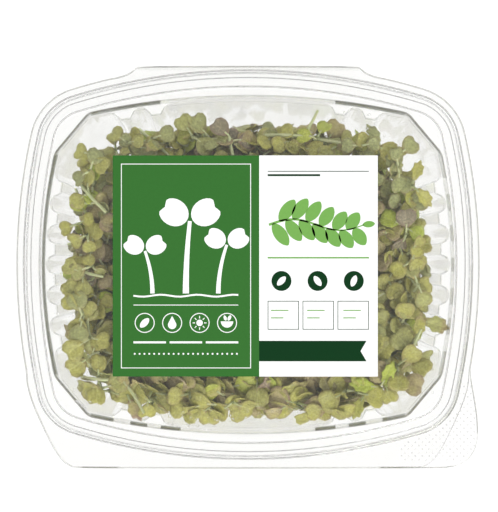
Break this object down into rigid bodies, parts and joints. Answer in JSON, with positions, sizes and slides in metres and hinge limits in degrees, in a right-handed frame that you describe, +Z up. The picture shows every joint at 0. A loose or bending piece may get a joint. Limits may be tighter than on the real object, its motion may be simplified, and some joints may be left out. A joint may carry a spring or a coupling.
{
  "type": "mustard microgreens tray",
  "caption": "Clear hinged-lid clamshell tray packed with cut mustard microgreens, with a printed label on its flat-topped lid.",
  "frame": {"origin": "on the underside of the tray's foot, below the middle of the whole outline", "axes": "+Z up out of the lid, +X along the tray's long side, +Y towards the lid's hinge"},
  "size_m": [0.1896, 0.1648, 0.0581],
  "materials": {
    "clear_base_film": "polished",
    "clear_lid_film": "polished",
    "printed_label": "satin",
    "mustard_leaf_green": "satin",
    "mustard_leaf_purple": "satin"
  },
  "bodies": {
    "base": {"base_tray": "clear_base_film", "green_heap": "mustard_leaf_green", "purple_knot_1": "mustard_leaf_purple", "purple_knot_2": "mustard_leaf_purple", "purple_knot_3": "mustard_leaf_purple", "purple_knot_4": "mustard_leaf_purple", "purple_knot_5": "mustard_leaf_purple"},
    "lid": {"lid": "clear_lid_film", "label": "printed_label"}
  },
  "joints": [
    {"name": "lid_hinge", "type": "hinge", "parent": "base", "child": "lid", "pos_m": [0, 0.08255, 0.0442], "axis": [-1, 0, 0], "range_deg": [0, 180]}
  ]
}
